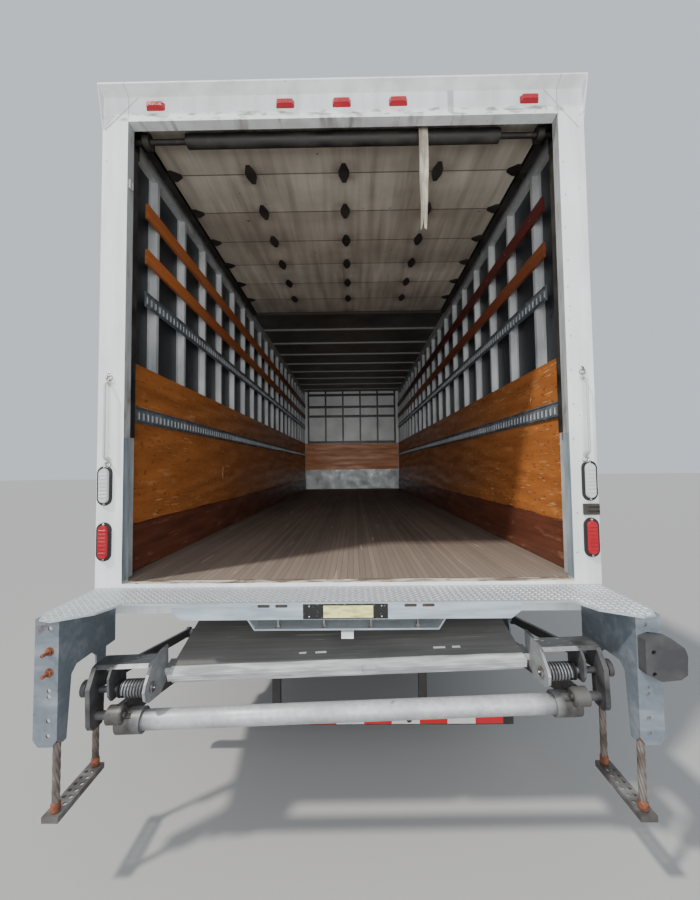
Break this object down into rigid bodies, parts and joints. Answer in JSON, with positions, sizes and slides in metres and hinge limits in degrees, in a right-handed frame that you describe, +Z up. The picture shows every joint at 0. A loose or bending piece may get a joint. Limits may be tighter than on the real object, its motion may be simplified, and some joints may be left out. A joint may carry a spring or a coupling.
{
  "type": "box truck",
  "caption": "Long-bodied box truck with an open roll-up rear door, a slatted and lined load space, a folded tuck-under liftgate and a tilting hood.",
  "frame": {"origin": "on the ground under the middle of the truck's overall box", "axes": "+Y forward along the truck, +X to its right, +Z up"},
  "size_m": [2.98, 11.4, 3.84],
  "materials": {
    "deck_wood": "worn",
    "frame_steel": "satin",
    "wall_sheet": "satin",
    "plywood": "varnished",
    "slat_wood": "satin",
    "galvanised": "matt",
    "roof_sheet": "matt",
    "rear_frame_paint": "satin",
    "lamp_red": "gloss",
    "rod_paint": "satin",
    "door_panel": "matt",
    "door_hardware_black": "matt",
    "strap_webbing": "worn",
    "chassis_black": "satin",
    "axle_black": "satin",
    "drivetrain_grey": "matt",
    "tank_metal": "brushed",
    "bumper_paint": "satin",
    "cab_paint": "gloss",
    "glass": "clear",
    "cab_trim": "grained",
    "seat_cloth": "woven",
    "mirror_black": "grained",
    "flap_rubber": "matt",
    "guard_steel": "satin",
    "bumper_rubber": "matt",
    "step_steel": "rusted",
    "grille_plastic": "satin",
    "tyre": "matt",
    "wheel_white": "satin",
    "gate_grey": "worn",
    "platform_aluminium": "worn",
    "cylinder_black": "satin",
    "rod_chrome": "polished"
  },
  "bodies": {
    "root": {"box_floor": "deck_wood", "floor_frame": "frame_steel", "box_walls": "wall_sheet", "wall_lining": "plywood", "wall_slats": "slat_wood", "wall_rails": "galvanised", "roof": "roof_sheet", "rear_frame": "rear_frame_paint", "rear_lamps": "lamp_red", "grab_rods": "rod_paint", "roll_door": "door_panel", "door_hardware": "door_hardware_black", "pull_strap": "strap_webbing", "chassis_frame": "chassis_black", "front_axle": "axle_black", "rear_axle": "axle_black", "drivetrain": "drivetrain_grey", "frame_tanks": "tank_metal", "front_bumper": "bumper_paint", "cab_shell": "cab_paint", "cab_glass": "glass", "cab_interior": "cab_trim", "seats": "seat_cloth", "mirrors": "mirror_black", "mud_flaps": "flap_rubber", "underride_guard": "guard_steel", "dock_plate": "galvanised", "gate_uprights": "galvanised", "dock_bumper": "bumper_rubber", "hung_steps": "step_steel", "gate_main_frame": "galvanised"},
    "hood": {"hood_shell": "cab_paint", "hood_front": "grille_plastic"},
    "door_left": {"door_left": "cab_paint", "door_glass_left": "glass"},
    "door_right": {"door_right": "cab_paint", "door_glass_right": "glass"},
    "steering_wheel": {"steering_wheel": "cab_trim"},
    "steer_left": {"knuckle_left": "axle_black"},
    "steer_right": {"knuckle_right": "axle_black"},
    "tie_rod": {"tie_rod": "axle_black"},
    "wheel_front_left": {"tyre_front_left": "tyre", "wheel_front_left": "wheel_white"},
    "wheel_front_right": {"tyre_front_right": "tyre", "wheel_front_right": "wheel_white"},
    "wheel_rear_left": {"tyres_rear_left": "tyre", "wheels_rear_left": "wheel_white"},
    "wheel_rear_right": {"tyres_rear_right": "tyre", "wheels_rear_right": "wheel_white"},
    "lift_arms": {"lift_arms": "gate_grey"},
    "parallel_arms": {"parallel_arms": "gate_grey"},
    "gate_platform": {"gate_carriers": "gate_grey", "platform": "platform_aluminium"},
    "gate_barrels": {"gate_barrels": "cylinder_black"},
    "gate_rods": {"gate_rods": "rod_chrome"}
  },
  "joints": [
    {"name": "hood_tilt", "type": "hinge", "parent": "root", "child": "hood", "pos_m": [0, 5.56, 0.72], "axis": [-1, 0, 0], "range_deg": [0, 62]},
    {"name": "door_left_swing", "type": "hinge", "parent": "root", "child": "door_left", "pos_m": [-1.058, 4.212, 1.2], "axis": [0, 0, -1], "range_deg": [0, 68]},
    {"name": "door_right_swing", "type": "hinge", "parent": "root", "child": "door_right", "pos_m": [1.058, 4.212, 1.2], "axis": [0, 0, 1], "range_deg": [0, 68]},
    {"name": "steer_left", "type": "hinge", "parent": "root", "child": "steer_left", "pos_m": [-0.86, 4.77, 0.465], "axis": [0, 0, 1], "range_deg": [-35, 35]},
    {"name": "steer_right", "type": "hinge", "parent": "root", "child": "steer_right", "pos_m": [0.86, 4.77, 0.465], "axis": [0, 0, 1], "range_deg": [-35, 35]},
    {"name": "tie_rod_swing", "type": "hinge", "parent": "steer_left", "child": "tie_rod", "pos_m": [-0.86, 4.59, 0.365], "axis": [0, 0, 1], "range_deg": [-35, 35]},
    {"name": "steering_wheel_turn", "type": "hinge", "parent": "root", "child": "steering_wheel", "pos_m": [-0.45, 3.85, 1.64], "axis": [0, -0.7967, 0.6044], "range_deg": [-525, 525]},
    {"name": "wheel_front_left_roll", "type": "hinge", "parent": "steer_left", "child": "wheel_front_left", "pos_m": [-1.02, 4.77, 0.465], "axis": [-1, 0, 0], "continuous": true},
    {"name": "wheel_front_right_roll", "type": "hinge", "parent": "steer_right", "child": "wheel_front_right", "pos_m": [1.02, 4.77, 0.465], "axis": [-1, 0, 0], "continuous": true},
    {"name": "wheel_rear_left_roll", "type": "hinge", "parent": "root", "child": "wheel_rear_left", "pos_m": [-0.9475, -1.98, 0.465], "axis": [-1, 0, 0], "continuous": true},
    {"name": "wheel_rear_right_roll", "type": "hinge", "parent": "root", "child": "wheel_rear_right", "pos_m": [0.9475, -1.98, 0.465], "axis": [-1, 0, 0], "continuous": true},
    {"name": "gate_lower", "type": "hinge", "parent": "root", "child": "lift_arms", "pos_m": [0.00729, -4.58, 0.58012], "axis": [0.9995, 0, 0.0332], "range_deg": [0, 37.5]},
    {"name": "gate_links", "type": "hinge", "parent": "root", "child": "parallel_arms", "pos_m": [0.00348, -4.58, 0.69506], "axis": [0.9995, 0, 0.0332], "range_deg": [0, 37.5]},
    {"name": "gate_level", "type": "hinge", "parent": "lift_arms", "child": "gate_platform", "pos_m": [0.001, -5.58, 0.77002], "axis": [0.9995, 0, 0.0332], "range_deg": [-37.5, 0]},
    {"name": "gate_barrel_tilt", "type": "hinge", "parent": "root", "child": "gate_barrels", "pos_m": [0.00663, -3.83, 0.60011], "axis": [0.9995, 0, 0.0332], "range_deg": [-1, 2]},
    {"name": "gate_rod_slide", "type": "slide", "parent": "gate_barrels", "child": "gate_rods", "axis": [0.007, -0.9776, -0.2102], "range_m": [-0.0981, 0.002]}
  ],
  "couplings": [
    {"joint": "steer_right", "follows": "steer_left", "ratio": 1},
    {"joint": "tie_rod_swing", "follows": "steer_left", "ratio": -1},
    {"joint": "steering_wheel_turn", "follows": "steer_left", "ratio": 15},
    {"joint": "gate_links", "follows": "gate_lower", "ratio": 1},
    {"joint": "gate_level", "follows": "gate_lower", "ratio": -1},
    {"joint": "gate_barrel_tilt", "follows": "gate_lower", "ratio": 0.01523},
    {"joint": "gate_rod_slide", "follows": "gate_lower", "m_per_rad": -0.1469}
  ]
}
